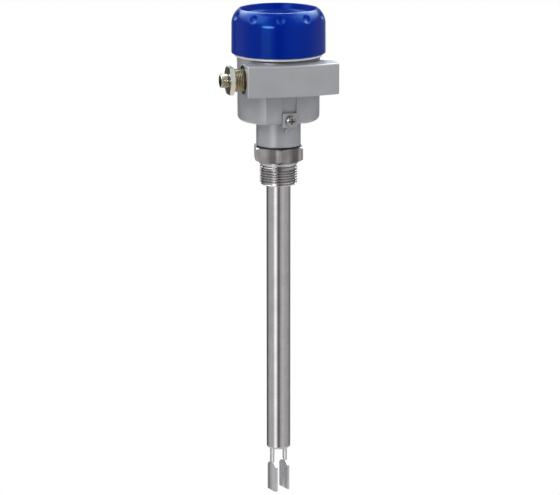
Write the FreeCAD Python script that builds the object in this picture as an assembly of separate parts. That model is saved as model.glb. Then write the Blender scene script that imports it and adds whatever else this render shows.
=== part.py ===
import FreeCAD, Part
import math
import os

# Vibrating fork level switch with an extension tube, a rotatable die-cast
# housing and a screw lid. Lengths are in millimetres and +Z points up.
# The origin is on the axis, at the sealing face under the process hexagon.

V = FreeCAD.Vector

# Fits
turn_gap = 0.05
slide_gap = 0.1
loose_gap = 0.3

# Process connection, turned from hexagon bar
hex_across_flats = 41.0
hex_height = 13.0
hex_corner_turn = 20.0
seal_land_r = 19.4
hex_lower_chamfer = 2.2
hex_corner_trim = 0.1
hex_upper_chamfer = 1.1
thread_r = 16.62
thread_reach = 21.0
thread_runout = 5.0
thread_chamfer = 1.6
thread_runout_cone = 1.2
relief_r = 16.0
relief_end = 3.2
root_cone_r = 17.6
root_cone_height = 1.2
spigot_r = 15.0
spigot_top = 30.0
spigot_round = 0.8
ring_height = 24.35
ring_thickness = 1.1
ring_groove_depth = 1.4
ring_stand_out = 1.6
ring_opening = 6.0
tube_socket_depth = 10.0

# Extension tube and fork
tube_r = 10.65
tube_wall = 2.6
probe_reach = 304.5
fork_length = 40.2
base_length = 20.5
base_spigot_length = 6.0
base_edge_round = 2.4
base_bore_r = 7.4
diaphragm = 1.5
fork_turn = 16.5
tine_offset = 6.7
tine_thickness = 3.0
paddle_width = 14.0
paddle_length = 23.2
shoulder_length = 3.6
shoulder_width = 6.6
stem_width = 4.2
stem_chamfer = 0.7
paddle_bevel = 5.5
paddle_bevel_depth = 1.0
paddle_groove_width = 3.0
paddle_groove_depth = 0.8
tip_bevel = 0.7

# Drive inside the fork base
stack_r = 6.0
stack_bore_r = 2.4
stack_foot = 2.0
bolt_r = 2.0
ring_count = 4
piezo_thickness = 2.2
electrode_thickness = 0.2
insulator_thickness = 1.8
nut_height = 3.5
nut_across_flats = 8.0
nut_bore_r = 2.05
lead_r = 0.6
lead_offset = 3.6
guide_count = 4
guide_thickness = 3.0
feedthrough_thickness = 6.0
feedthrough_base = -10.0
pin_r = 0.5
pin_circle_r = 3.0
pin_count = 4
plug_r = 7.0
plug_height = 12.0
plug_boss_r = 4.0

# Housing
neck_r = 19.6
seal_height = 1.2
body_base = 36.7
body_r = 35.9
collar_r = 36.3
body_round = 4.5
bar_base = 64.1
bar_height = 27.1
bar_left = -39.5
bar_right = 42.3
bar_front = 44.0
bar_bulge = 4.5
bar_edge_round = 1.2
entry_y = -28.0
entry_r = 10.0
entry_depth = 27.0
spotface_r = 12.6
spotface_depth = 2.0
facet_y = 30.3
facet_corner_round = 1.5
cavity_r = 33.0
cavity_floor = 42.0
cavity_flat_y = 25.5
shoulder_r = 17.0
flange_r = 38.4
flange_base = 93.6
flange_thickness = 2.0
lid_thread_height = 9.8

# Ground terminal on the front of the housing
ground_x = 1.5
ground_z = 41.0
boss_width = 12.5
boss_height = 12.4
boss_front = 33.3
channel_top_depth = 0.4
channel_foot_depth = 1.3
rib_width = 2.4
rib_foot = 27.0
clamp_r = 5.0
clamp_thickness = 1.3
ground_screw_r = 2.45
ground_screw_length = 6.2
ground_head_r = 4.4
ground_head_height = 3.2
driver_width = 1.2
driver_reach = 5.2
driver_depth = 1.9

# Lid
lid_height = 40.7
lid_foot_r = 41.2
lid_foot_round = 0.9
lid_crown_r = 40.9
lid_shoulder_round = 14.5
dish_depth = 9.0
dish_rim_r = 33.4
dish_floor_r = 31.9
dish_floor_round = 2.5
dish_rim_round = 0.6
crown_thickness = 2.6
ceiling_round = 5.0
lid_bore_r = 36.4
lid_bore_spare = 3.0
lid_hollow_r = 34.9
dimple_count = 10
dimple_r = 4.4
dimple_depth = 1.45
dimple_lean = 27.0
dimple_turn = -103.0
gasket_wire_r = 1.05

# Plug connector, blind plug and their seals
connector_stand = 9.4
connector_hex = 23.5
connector_hex_length = 4.2
shell_r = 6.0
shell_bore_r = 4.6
shell_length = 6.5
thread_engagement = 12.0
rear_bore_r = 6.5
insert_length = 6.0
insert_recess = 7.0
key_recess = 1.5
key_width = 1.2
connector_pin_r = 0.5
connector_pin_circle = 2.2
connector_pin_stand = 6.0
entry_seal_thickness = 0.8
blind_flange_r = 12.2
blind_length = 12.0
blind_socket = 10.0
blind_socket_depth = 7.0

# Electronics insert
cup_r = 32.6
cup_height = 20.0
cup_wall = 2.0
cup_flat_y = 25.1
cover_thickness = 3.0
board_lift = 8.0
board_thickness = 1.6
board_gap = 0.5
post_r = 3.0
post_circle_r = 25.0
screw_post_r = 4.2
fixing_x = 24.5
fixing_y = 14.0
fixing_r = 1.95
fixing_length = 27.5
fixing_head_r = 3.3
fixing_head_height = 2.4
terminal_count = 5
terminal_pitch = 8.0
terminal_y = 8.0
terminal_depth = 15.0
terminal_height = 13.0
terminal_well_r = 2.7
terminal_well_depth = 3.5
terminal_screw_r = 2.5
terminal_screw_height = 2.4
wire_entry_r = 1.6
wire_entry_depth = 7.0
wire_entry_height = 4.0
switch_y = -13.0
switch_length = 16.0
switch_depth = 7.0
switch_height = 5.0
switch_slot_length = 5.0
switch_slot_width = 2.4
switch_slot_depth = 2.5
switch_travel = 2.4
lever_height = 3.6
lamp_r = 1.5
lamp_x = 14.0
wire_r = 0.7
wire_bend = 5.0
sensor_lead_r = 2.2

# Parts on the circuit board
transformer_width = 14.0
transformer_depth = 12.0
transformer_height = 9.0
transformer_x = -2.0
transformer_y = 12.0
relay_width = 14.0
relay_depth = 10.0
relay_height = 8.0
relay_x = -15.0
relay_y = -7.0
capacitor_r = 4.0
capacitor_height = 8.5
capacitor_x = 14.0
capacitor_pitch = 10.0
chip_size = 7.0
chip_height = 1.5
chip_y = -4.0

# Heights and places that follow from the sizes above
tube_bore_r = tube_r - tube_wall
fork_root = -(probe_reach - fork_length)
base_top = fork_root + base_length
tube_top = tube_socket_depth - thread_reach
stack_base = fork_root + diaphragm + stack_foot
neck_base = hex_height + seal_height + turn_gap
bar_top = bar_base + bar_height
flange_top = flange_base + flange_thickness
housing_top = flange_top + lid_thread_height
lid_base = flange_top + loose_gap
lid_top = lid_base + lid_height
dish_floor = lid_top - dish_depth
lid_ceiling = dish_floor - crown_thickness
lid_bore_top = housing_top + lid_bore_spare
entry_z = bar_base + bar_height / 2
bar_back_r = bar_height / 2
cup_top = cavity_floor + cup_height
cover_top = cup_top + cover_thickness
board_base = cavity_floor + board_lift
board_top = board_base + board_thickness
plug_base = feedthrough_base + feedthrough_thickness
plug_top = plug_base + plug_height
gasket_ring_r = collar_r + 0.1 + gasket_wire_r
gasket_seat_r = gasket_ring_r + gasket_wire_r + slide_gap
gasket_z = flange_top + turn_gap + gasket_wire_r
gasket_seat_top = gasket_z + gasket_wire_r + slide_gap
clamp_base_y = -(boss_front + turn_gap)
clamp_front_y = clamp_base_y - clamp_thickness
head_base_y = clamp_front_y - turn_gap


def rounded_wire(corners):
    """Closed wire through (point, rounding radius) corners."""
    spans = []
    for k, (point, radius) in enumerate(corners):
        back = (corners[k - 1][0] - point).normalize()
        ahead = (corners[(k + 1) % len(corners)][0] - point).normalize()
        if radius == 0:
            spans.append((point, None, point))
            continue
        half = back.getAngle(ahead) / 2
        inward = (back + ahead).normalize()
        reach = radius / math.tan(half)
        mid = point + inward * (radius / math.sin(half) - radius)
        spans.append((point + back * reach, mid, point + ahead * reach))
    edges = []
    for k, (start, mid, end) in enumerate(spans):
        if mid is not None:
            edges.append(Part.Arc(start, mid, end).toShape())
        following = spans[(k + 1) % len(spans)][0]
        if end.distanceToPoint(following) > 1e-6:
            edges.append(Part.makeLine(end, following))
    return Part.Wire(edges)


def turned(outline):
    """Solid of revolution about Z from (radius, height) or (radius, height, rounding) corners."""
    corners = [(V(c[0], 0, c[1]), c[2] if len(c) > 2 else 0) for c in outline]
    return Part.Face(rounded_wire(corners)).revolve(V(0, 0, 0), V(0, 0, 1), 360)


def slab(outline, base, top):
    """Upright prism from (x, y) or (x, y, rounding) corners."""
    corners = [(V(c[0], c[1], base), c[2] if len(c) > 2 else 0) for c in outline]
    return Part.Face(rounded_wire(corners)).extrude(V(0, 0, top - base))


def rod(radius, base, top, x=0.0, y=0.0):
    return Part.makeCylinder(radius, top - base, V(x, y, base))


def cross_rod(radius, left, right, y, z):
    """Cylinder along X."""
    return Part.makeCylinder(radius, right - left, V(left, y, z), V(1, 0, 0))


def block(x0, x1, y0, y1, z0, z1):
    return Part.makeBox(x1 - x0, y1 - y0, z1 - z0, V(x0, y0, z0))


def hexagon(across_flats, base, top, turn):
    """Hexagonal prism with a corner at the given angle from +X."""
    corner_r = across_flats / math.sqrt(3)
    angles = [math.radians(turn + 60 * k) for k in range(6)]
    return slab([(corner_r * math.cos(a), corner_r * math.sin(a)) for a in angles], base, top)


def level_edges(shape, height):
    """Edges that lie at one height."""
    return [e for e in shape.Edges if all(abs(v.Z - height) < 1e-4 for v in e.Vertexes)
            and abs(e.BoundBox.ZLength) < 1e-4]


def upright_edges(shape, test):
    """Straight edges between two heights whose middle passes the test."""
    found = []
    for edge in shape.Edges:
        middle = edge.BoundBox.Center
        if edge.BoundBox.ZLength > 1 and len(edge.Vertexes) == 2 and test(middle):
            found.append(edge)
    return found


def around(shape, count, circle_r, start=0.0):
    """Copies of a shape on a circle about Z."""
    copies = []
    for k in range(count):
        angle = math.radians(start + 360.0 * k / count)
        copies.append(shape.translated(V(circle_r * math.cos(angle), circle_r * math.sin(angle), 0)))
    return copies


def process_fitting():
    corner_r = hex_across_flats / math.sqrt(3)
    envelope = turned([
        (0, 0), (seal_land_r, 0), (corner_r + hex_corner_trim, hex_lower_chamfer),
        (corner_r + hex_corner_trim, hex_height - hex_upper_chamfer * 0.7),
        (corner_r - hex_upper_chamfer, hex_height), (0, hex_height)])
    nut = hexagon(hex_across_flats, 0, hex_height, hex_corner_turn).common(envelope)
    ring_groove_r = spigot_r - ring_groove_depth
    shank = turned([
        (0, -thread_reach), (thread_r - thread_chamfer, -thread_reach),
        (thread_r, -thread_reach + thread_chamfer), (thread_r, -thread_runout),
        (relief_r, -thread_runout + thread_runout_cone), (relief_r, -relief_end),
        (root_cone_r, -root_cone_height),
        (root_cone_r, 0), (root_cone_r, hex_height), (spigot_r, hex_height),
        (spigot_r, ring_height - turn_gap), (ring_groove_r, ring_height - turn_gap),
        (ring_groove_r, ring_height + ring_thickness + turn_gap),
        (spigot_r, ring_height + ring_thickness + turn_gap),
        (spigot_r, spigot_top, spigot_round), (0, spigot_top)])
    bore = rod(tube_bore_r, -thread_reach - 1, spigot_top + 1)
    socket = rod(tube_r, -thread_reach - 1, tube_top)
    return nut.fuse(shank).cut(bore).cut(socket).removeSplitter()


def extension_tube():
    return rod(tube_r, base_top, tube_top).cut(rod(tube_bore_r, base_top - 1, tube_top + 1))


def fork_base():
    """Closed end of the probe: a rounded cap with the membrane that carries the tines."""
    foot_top = stack_base
    floor = fork_root + diaphragm
    return turned([
        (0, fork_root), (tube_r, fork_root, base_edge_round), (tube_r, base_top),
        (tube_bore_r, base_top), (tube_bore_r, base_top + base_spigot_length, 0.4),
        (base_bore_r, base_top + base_spigot_length), (base_bore_r, floor, 0.8),
        (stack_r, floor), (stack_r, foot_top), (bolt_r, foot_top), (bolt_r, floor), (0, floor)])


def tine(side):
    """One paddle on its stem, in the plane square to the line between the tines."""
    tip = -probe_reach
    half_w = paddle_width / 2
    half_t = tine_thickness / 2
    paddle_top = tip + paddle_length
    shoulder_top = paddle_top + shoulder_length
    section = slab([
        (-half_t, -half_w), (half_t - paddle_bevel_depth, -half_w),
        (half_t, -half_w + paddle_bevel), (half_t, half_w - paddle_bevel),
        (half_t - paddle_bevel_depth, half_w), (-half_t, half_w),
        (-half_t, paddle_groove_width / 2), (-half_t + paddle_groove_depth, 0),
        (-half_t, -paddle_groove_width / 2)], tip, shoulder_top)
    outline = [(-half_w, tip), (half_w, tip), (half_w, paddle_top),
               (shoulder_width / 2, shoulder_top), (-shoulder_width / 2, shoulder_top),
               (-half_w, paddle_top)]
    corners = [(V(-tine_thickness, w, z), 0.8 if z < shoulder_top else 0) for w, z in outline]
    face = Part.Face(rounded_wire(corners)).extrude(V(2 * tine_thickness, 0, 0))
    paddle = section.common(face)
    foot = [(-half_t + tip_bevel, tip), (half_t - tip_bevel, tip), (half_t + 1, tip + tip_bevel + 1),
            (half_t + 1, shoulder_top), (-half_t - 1, shoulder_top),
            (-half_t - 1, tip + tip_bevel + 1)]
    wedge = Part.Face(rounded_wire([(V(s, -half_w - 1, z), 0) for s, z in foot]))
    paddle = paddle.common(wedge.extrude(V(0, paddle_width + 2, 0)))
    half_stem = stem_width / 2
    stem = slab([
        (-half_t, -half_stem + stem_chamfer), (-half_t + stem_chamfer, -half_stem),
        (half_t - stem_chamfer, -half_stem), (half_t, -half_stem + stem_chamfer),
        (half_t, half_stem - stem_chamfer), (half_t - stem_chamfer, half_stem),
        (-half_t + stem_chamfer, half_stem), (-half_t, half_stem - stem_chamfer)],
        paddle_top, fork_root - turn_gap)
    whole = paddle.fuse(stem).removeSplitter()
    whole.translate(V(tine_offset, 0, 0))
    whole.rotate(V(0, 0, 0), V(0, 0, 1), fork_turn + (0 if side > 0 else 180))
    return whole


def stack_levels():
    """Heights of the discs on the drive bolt, from the membrane upwards."""
    level = stack_base + insulator_thickness
    rings = []
    electrodes = []
    for k in range(ring_count):
        electrodes.append(level)
        rings.append(level + electrode_thickness)
        level += electrode_thickness + piezo_thickness
    electrodes.append(level)
    return rings, electrodes, level + electrode_thickness


def washer(outer, inner, base, thickness):
    return rod(outer, base, base + thickness).cut(rod(inner, base - 1, base + thickness + 1))


def piezo_rings():
    return [washer(stack_r, stack_bore_r, z, piezo_thickness) for z in stack_levels()[0]]


def electrode_discs():
    return [washer(stack_r - 0.2, stack_bore_r, z, electrode_thickness) for z in stack_levels()[1]]


def insulating_discs():
    top = stack_levels()[2]
    return [washer(stack_r, stack_bore_r, z, insulator_thickness) for z in (stack_base, top)]


def drive_bolt():
    top = stack_levels()[2] + insulator_thickness + nut_height + 1.0
    return rod(bolt_r, fork_root + diaphragm, top)


def preload_nut():
    base = stack_levels()[2] + insulator_thickness
    body = hexagon(nut_across_flats, base, base + nut_height, 0)
    return body.cut(rod(nut_bore_r, base - 1, base + nut_height + 1))


def probe_leads():
    """Two insulated wires from the drive up the tube to the sealed lead-through."""
    base = stack_levels()[2] + insulator_thickness + nut_height + 1.5
    angles = [math.radians(fork_turn + 90), math.radians(fork_turn - 90)]
    top = feedthrough_base - loose_gap
    return [rod(lead_r, base, top, lead_offset * math.cos(a), lead_offset * math.sin(a))
            for a in angles]


def lead_guides():
    """Plastic discs that keep the wires off the tube wall."""
    low = base_top + base_spigot_length + 8
    high = feedthrough_base - 20
    guides = []
    for k in range(guide_count):
        base = low + (high - low) * k / (guide_count - 1)
        disc = rod(tube_bore_r, base, base + guide_thickness)
        for angle in (fork_turn + 90, fork_turn - 90):
            x = lead_offset * math.cos(math.radians(angle))
            y = lead_offset * math.sin(math.radians(angle))
            disc = disc.cut(rod(lead_r, base - 1, base + guide_thickness + 1, x, y))
        guides.append(disc)
    return guides


def feedthrough():
    """Pressed metal disc with glass round its pins."""
    disc = rod(tube_bore_r, feedthrough_base, plug_base)
    for hole in around(rod(pin_r, feedthrough_base - 1, plug_base + 1), pin_count, pin_circle_r, 45):
        disc = disc.cut(hole)
    return disc


def feedthrough_pins():
    pin = rod(pin_r, feedthrough_base - 0.2, plug_base + 6.0)
    return around(pin, pin_count, pin_circle_r, 45)


def sensor_plug():
    body = turned([(0, plug_base), (plug_r, plug_base, 0.5), (plug_r, plug_top - 4, 0.6),
                   (plug_boss_r, plug_top - 4), (plug_boss_r, plug_top, 0.5), (0, plug_top)])
    socket = rod(pin_r, plug_base - 1, plug_base + 6.5)
    for hole in around(socket, pin_count, pin_circle_r, 45):
        body = body.cut(hole)
    return body


def neck_seal():
    """Black ring in the gap between the hexagon and the housing neck."""
    return washer(neck_r - 0.6, spigot_r, hex_height, seal_height)


def retaining_ring():
    """Open snap ring in the spigot groove that holds the housing down."""
    ring = washer(spigot_r + ring_stand_out, spigot_r - ring_groove_depth, ring_height, ring_thickness)
    return ring.cut(block(-ring_opening / 2, ring_opening / 2, 0, spigot_r + 5,
                          ring_height - 1, ring_height + ring_thickness + 1))


def cavity_plan(radius, flat_y, base, top):
    """Round space with a flat on the front side."""
    return rod(radius, base, top).cut(block(-radius - 1, radius + 1, -radius - 1, -flat_y,
                                            base - 1, top + 1))


def housing_lower_body():
    """Drum below the entry bar, with the flat that carries the ground terminal."""
    mouth_r = body_r + (collar_r - body_r) * (bar_base - body_base) / (flange_base - body_base)
    drum = Part.makeCone(body_r, mouth_r, bar_base - body_base, V(0, 0, body_base))
    drum = drum.cut(block(-50, 50, -60, -facet_y, body_base - 1, bar_base + 1))
    drum = drum.makeFillet(facet_corner_round, upright_edges(drum, lambda m: m.y < -facet_y + 0.5))
    return drum.makeFillet(body_round, level_edges(drum, body_base))


def housing_entry_bar():
    """Bar across the front with a round back, for the two cable entries."""
    reach = -bar_front - bar_bulge - 1
    section = slab([(-bar_back_r, reach), (bar_back_r, reach), (bar_back_r, entry_y),
                    (-bar_back_r, entry_y)], 0, bar_right - bar_left)
    section = section.fuse(rod(bar_back_r, 0, bar_right - bar_left, 0, entry_y)).removeSplitter()
    section.rotate(V(0, 0, 0), V(0, 1, 0), 90)
    section.translate(V(bar_left, 0, entry_z))
    left_front = V(bar_left, -bar_front, bar_base - 1)
    right_front = V(bar_right, -bar_front, bar_base - 1)
    crown = V((bar_left + bar_right) / 2, -bar_front - bar_bulge, bar_base - 1)
    run = [right_front, V(bar_right, 0, bar_base - 1), V(bar_left, 0, bar_base - 1), left_front]
    edges = [Part.Arc(left_front, crown, right_front).toShape()]
    edges += [Part.makeLine(run[k], run[k + 1]) for k in range(len(run) - 1)]
    plan = Part.Face(Part.Wire(edges)).extrude(V(0, 0, bar_height + 2))
    bar = section.common(plan).removeSplitter()
    rims = [e for z in (bar_base, bar_top) for e in level_edges(bar, z)
            if e.BoundBox.YMin < -bar_front - 1]
    ends = [e for x in (bar_left, bar_right) for e in bar.Edges
            if e.BoundBox.XLength < 1e-4 and abs(e.BoundBox.XMin - x) < 1e-4]
    bar = bar.makeFillet(bar_edge_round, rims + ends)
    web = slab([(bar_left + 1.5, entry_y), (bar_left + 11, entry_y + 5), (bar_right - 11, entry_y + 5),
                (bar_right - 1.5, entry_y)], bar_base, bar_top)
    return bar.fuse(web)


def housing_ground_boss():
    front = -boss_front
    base = ground_z - boss_height / 2
    pad = slab([
        (ground_x - boss_width / 2, -facet_y + 3), (ground_x - boss_width / 2, front, 1.0),
        (ground_x + boss_width / 2, front, 1.0), (ground_x + boss_width / 2, -facet_y + 3)],
        base, base + boss_height)
    web = [V(0, front + 1, base), V(0, -neck_r + 2, base + 3), V(0, -neck_r + 2, rib_foot),
           V(0, -neck_r, rib_foot), V(0, -neck_r - 1.5, rib_foot + 3)]
    rib = Part.Face(Part.makePolygon(web + [web[0]])).extrude(V(rib_width, 0, 0))
    rib.translate(V(ground_x - rib_width / 2, 0, 0))
    return pad.fuse(rib)


def housing():
    collar = turned([
        (0, bar_base), (collar_r - 0.5, bar_base), (collar_r, flange_base - 1.4, 1.0),
        (flange_r, flange_base, 0.5), (flange_r, flange_top, 0.7), (collar_r, flange_top),
        (collar_r, housing_top, 0.8), (0, housing_top)])
    neck = turned([(0, neck_base), (neck_r, neck_base, 0.8), (neck_r, body_base + 4),
                   (0, body_base + 4)])
    shell = collar.fuse(housing_lower_body()).fuse(neck)
    shell = shell.fuse(housing_entry_bar()).fuse(housing_ground_boss())
    shell = shell.cut(rod(cavity_r, bar_base, housing_top + 1))
    shell = shell.cut(cavity_plan(cavity_r, cavity_flat_y, cavity_floor, bar_base + 1))
    shell = shell.cut(rod(shoulder_r, ring_height - 0.15, cavity_floor + 1))
    shell = shell.cut(rod(spigot_r + turn_gap, neck_base - 1, ring_height))
    for end, inner in ((bar_left, bar_left + entry_depth), (bar_right, bar_right - entry_depth)):
        low, high = min(end, inner), max(end, inner)
        outward = 1 if end > 0 else -1
        shell = shell.cut(cross_rod(entry_r, low - (1 if outward < 0 else 0),
                                    high + (1 if outward > 0 else 0), entry_y, entry_z))
        mouth = end - outward * spotface_depth
        low, high = min(end + outward, mouth), max(end + outward, mouth)
        shell = shell.cut(cross_rod(spotface_r, low, high, entry_y, entry_z))
    channel_top = bar_base + 1
    channel_foot = ground_z + boss_height / 2
    wedge = [V(0, -facet_y - 2, channel_top), V(0, -facet_y + channel_top_depth, channel_top),
             V(0, -facet_y + channel_foot_depth, channel_foot), V(0, -facet_y - 2, channel_foot)]
    channel = Part.Face(Part.makePolygon(wedge + [wedge[0]])).extrude(V(boss_width, 0, 0))
    channel.translate(V(ground_x - boss_width / 2, 0, 0))
    shell = shell.cut(channel.common(block(-50, 50, -60, 0, channel_foot, bar_base)))
    shell = shell.cut(Part.makeCylinder(ground_screw_r + turn_gap, ground_screw_length + 1,
                                        V(ground_x, -boss_front - 1, ground_z), V(0, 1, 0)))
    for side in (-1, 1):
        shell = shell.cut(rod(fixing_r, cover_top - fixing_length, cavity_floor + 1,
                              side * fixing_x, fixing_y))
    return shell.removeSplitter()


def lid():
    """Domed screw lid with a dished top and a ring of grip dimples."""
    body = turned([(0, lid_base), (lid_foot_r, lid_base, lid_foot_round),
                   (lid_crown_r, lid_top, lid_shoulder_round), (0, lid_top)])
    body = body.cut(turned([(0, dish_floor), (dish_floor_r, dish_floor, dish_floor_round),
                            (dish_rim_r, lid_top + 1), (0, lid_top + 1)]))
    rim = [e for e in body.Edges if e.BoundBox.ZLength < 1e-4 and e.BoundBox.ZMin > lid_top - 3
           and abs(e.BoundBox.XMax - dish_rim_r) < 1]
    body = body.makeFillet(dish_rim_round, rim)
    body = body.cut(turned([
        (0, lid_base - 1), (gasket_seat_r, lid_base - 1), (gasket_seat_r, gasket_seat_top),
        (lid_bore_r, gasket_seat_top), (lid_bore_r, lid_bore_top),
        (lid_hollow_r, lid_bore_top + lid_bore_r - lid_hollow_r),
        (lid_hollow_r, lid_ceiling, ceiling_round), (0, lid_ceiling)]))
    arc_r = lid_crown_r - lid_shoulder_round
    lean = math.radians(dimple_lean)
    ball_r = (dimple_r ** 2 + dimple_depth ** 2) / (2 * dimple_depth)
    stand = lid_shoulder_round + ball_r - dimple_depth
    reach = arc_r + stand * math.cos(lean)
    height = lid_top - lid_shoulder_round + stand * math.sin(lean)
    for k in range(dimple_count):
        angle = math.radians(dimple_turn + 360.0 * k / dimple_count)
        centre = V(reach * math.cos(angle), reach * math.sin(angle), height)
        body = body.cut(Part.makeSphere(ball_r, centre))
    return body


def lid_gasket():
    return Part.makeTorus(gasket_ring_r, gasket_wire_r, V(0, 0, gasket_z))


def entry_seal(mouth, outward):
    """Flat ring at the bottom of a spotface."""
    low = min(mouth, mouth + outward * entry_seal_thickness)
    ring = cross_rod(spotface_r - 0.3, low, low + entry_seal_thickness, entry_y, entry_z)
    return ring.cut(cross_rod(entry_r, low - 1, low + entry_seal_thickness + 1, entry_y, entry_z))


def connector_body():
    """Nickel-plated adapter: housing thread, hexagon and threaded plug shell."""
    inner = bar_left + thread_engagement
    hex_right = bar_left - connector_stand
    hex_left = hex_right - connector_hex_length
    tip = hex_left - shell_length
    thread = cross_rod(entry_r - turn_gap, hex_right, inner, entry_y, entry_z)
    nut = hexagon(connector_hex, 0, connector_hex_length, 30)
    corner_r = connector_hex / math.sqrt(3)
    trim = turned([(0, 0), (corner_r - 1.2, 0), (corner_r + 0.1, 0.8),
                   (corner_r + 0.1, connector_hex_length - 0.8),
                   (corner_r - 1.2, connector_hex_length), (0, connector_hex_length)])
    nut = nut.common(trim)
    nut.rotate(V(0, 0, 0), V(0, 1, 0), 90)
    nut.translate(V(hex_left, entry_y, entry_z))
    shell = Part.makeCylinder(shell_r, shell_length, V(tip, entry_y, entry_z), V(1, 0, 0))
    shell = shell.makeChamfer(0.5, [e for e in shell.Edges if e.BoundBox.XMax < tip + 0.1])
    whole = thread.fuse(nut).fuse(shell)
    front_bore = cross_rod(shell_bore_r, tip - 1, tip + insert_recess + insert_length, entry_y, entry_z)
    rear_bore = cross_rod(rear_bore_r, tip + insert_recess + insert_length, inner + 1, entry_y, entry_z)
    return whole.cut(front_bore).cut(rear_bore).removeSplitter()


def connector_places():
    tip = bar_left - connector_stand - connector_hex_length - shell_length
    face = tip + insert_recess
    return tip, face, face + insert_length


def connector_pin_centres():
    angles = [math.radians(45 + 90 * k) for k in range(4)]
    return [(entry_y + connector_pin_circle * math.cos(a), entry_z + connector_pin_circle * math.sin(a))
            for a in angles]


def connector_insert():
    """Plastic carrier of the contacts, with its coding key along the shell."""
    tip, face, rear = connector_places()
    body = cross_rod(shell_bore_r, face, rear, entry_y, entry_z)
    key = block(tip + key_recess, face, entry_y - key_width / 2, entry_y + key_width / 2,
                entry_z + shell_bore_r - 1.3, entry_z + shell_bore_r - 0.3)
    body = body.fuse(key)
    for y, z in connector_pin_centres():
        body = body.cut(cross_rod(connector_pin_r, face - 1, rear + 1, y, z))
    return body.removeSplitter()


def connector_pins():
    face = connector_places()[1]
    rear = connector_places()[2]
    return [cross_rod(connector_pin_r, face - connector_pin_stand, rear + 2.0, y, z)
            for y, z in connector_pin_centres()]


def bent_wire(points):
    """Round wire along straight runs joined by tangent arcs."""
    edges = []
    start = points[0]
    for k in range(1, len(points) - 1):
        back = (points[k - 1] - points[k]).normalize()
        ahead = (points[k + 1] - points[k]).normalize()
        half = back.getAngle(ahead) / 2
        reach = wire_bend / math.tan(half)
        mid = points[k] + (back + ahead).normalize() * (wire_bend / math.sin(half) - wire_bend)
        edges.append(Part.makeLine(start, points[k] + back * reach))
        edges.append(Part.Arc(points[k] + back * reach, mid, points[k] + ahead * reach).toShape())
        start = points[k] + ahead * reach
    edges.append(Part.makeLine(start, points[-1]))
    path = Part.Wire(edges)
    ring = Part.Wire(Part.makeCircle(wire_r, points[0], points[1] - points[0]))
    return path.makePipeShell([ring], True, False)


def terminal_x(index):
    return (index - (terminal_count - 1) / 2) * terminal_pitch


def connector_leads():
    """Four wires from the connector contacts to the terminals."""
    rear = connector_places()[2] + 2.0
    front = terminal_y - terminal_depth / 2 + wire_entry_depth
    order = sorted(connector_pin_centres(), key=lambda c: (-c[0], c[1]))
    wires = []
    for k, (y, z) in enumerate(order):
        x = terminal_x(k + 1)
        end_z = cover_top + wire_entry_height
        wires.append(bent_wire([V(rear, y, z), V(x, y, z), V(x, front - 10, end_z), V(x, front, end_z)]))
    return wires


def blind_plug():
    """Socket plug in the unused entry, flush with the end of the bar."""
    face = bar_right
    seat = face - spotface_depth + entry_seal_thickness
    body = cross_rod(entry_r - turn_gap, seat - blind_length, seat + 0.1, entry_y, entry_z)
    body = body.fuse(cross_rod(blind_flange_r, seat, face, entry_y, entry_z))
    key = hexagon(blind_socket, 0, blind_socket_depth + 1, 0)
    key.rotate(V(0, 0, 0), V(0, 1, 0), 90)
    key.translate(V(face - blind_socket_depth, entry_y, entry_z))
    return body.cut(key).removeSplitter()


def ground_clamp():
    """Cupped washer that presses the bonding wire on the boss."""
    plate = Part.makeCylinder(clamp_r, clamp_thickness, V(ground_x, clamp_base_y, ground_z), V(0, -1, 0))
    hole = Part.makeCylinder(ground_screw_r + turn_gap, clamp_thickness + 2,
                             V(ground_x, clamp_base_y + 1, ground_z), V(0, -1, 0))
    return plate.cut(hole)


def ground_screw():
    """Cross-recessed pan head screw."""
    head = turned([(0, 0), (ground_head_r, 0), (ground_head_r, ground_head_height, 1.5),
                   (0, ground_head_height)])
    for turn in (0, 90):
        slot = block(-driver_reach / 2, driver_reach / 2, -driver_width / 2, driver_width / 2,
                     ground_head_height - driver_depth, ground_head_height + 1)
        slot.rotate(V(0, 0, 0), V(0, 0, 1), turn)
        head = head.cut(slot)
    shank_end = ground_screw_length - (boss_front + head_base_y) - loose_gap
    head = head.fuse(rod(ground_screw_r, -shank_end, 0.1))
    head.rotate(V(0, 0, 0), V(1, 0, 0), 90)
    head.translate(V(ground_x, head_base_y, ground_z))
    return head.removeSplitter()


def electronics_cup():
    """Plastic pot that stands on the housing floor and carries the board and its cover."""
    body = cavity_plan(cup_r, cup_flat_y, cavity_floor, cup_top)
    inside = cavity_plan(cup_r - cup_wall, cup_flat_y - cup_wall, cavity_floor + cup_wall, cup_top + 1)
    body = body.cut(inside)
    for post in around(rod(post_r, cavity_floor + cup_wall, board_base), 3, post_circle_r, 90):
        body = body.fuse(post)
    for side in (-1, 1):
        body = body.fuse(rod(screw_post_r, cavity_floor, cup_top, side * fixing_x, fixing_y))
    for side in (-1, 1):
        body = body.cut(rod(fixing_r + slide_gap, cavity_floor - 1, cup_top + 1,
                            side * fixing_x, fixing_y))
    return body.cut(rod(sensor_lead_r + slide_gap, cavity_floor - 1, cavity_floor + cup_wall + 1)
                    ).removeSplitter()


def electronics_cover():
    plate = cavity_plan(cup_r, cup_flat_y, cup_top, cover_top)
    for side in (-1, 1):
        plate = plate.cut(rod(fixing_r + slide_gap, cup_top - 1, cover_top + 1,
                              side * fixing_x, fixing_y))
    return plate


def circuit_board():
    inner_r = cup_r - cup_wall - board_gap
    board = cavity_plan(inner_r, cup_flat_y - cup_wall - board_gap, board_base, board_top)
    for side in (-1, 1):
        board = board.cut(rod(screw_post_r + board_gap, board_base - 1, board_top + 1,
                              side * fixing_x, fixing_y))
    return board


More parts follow.
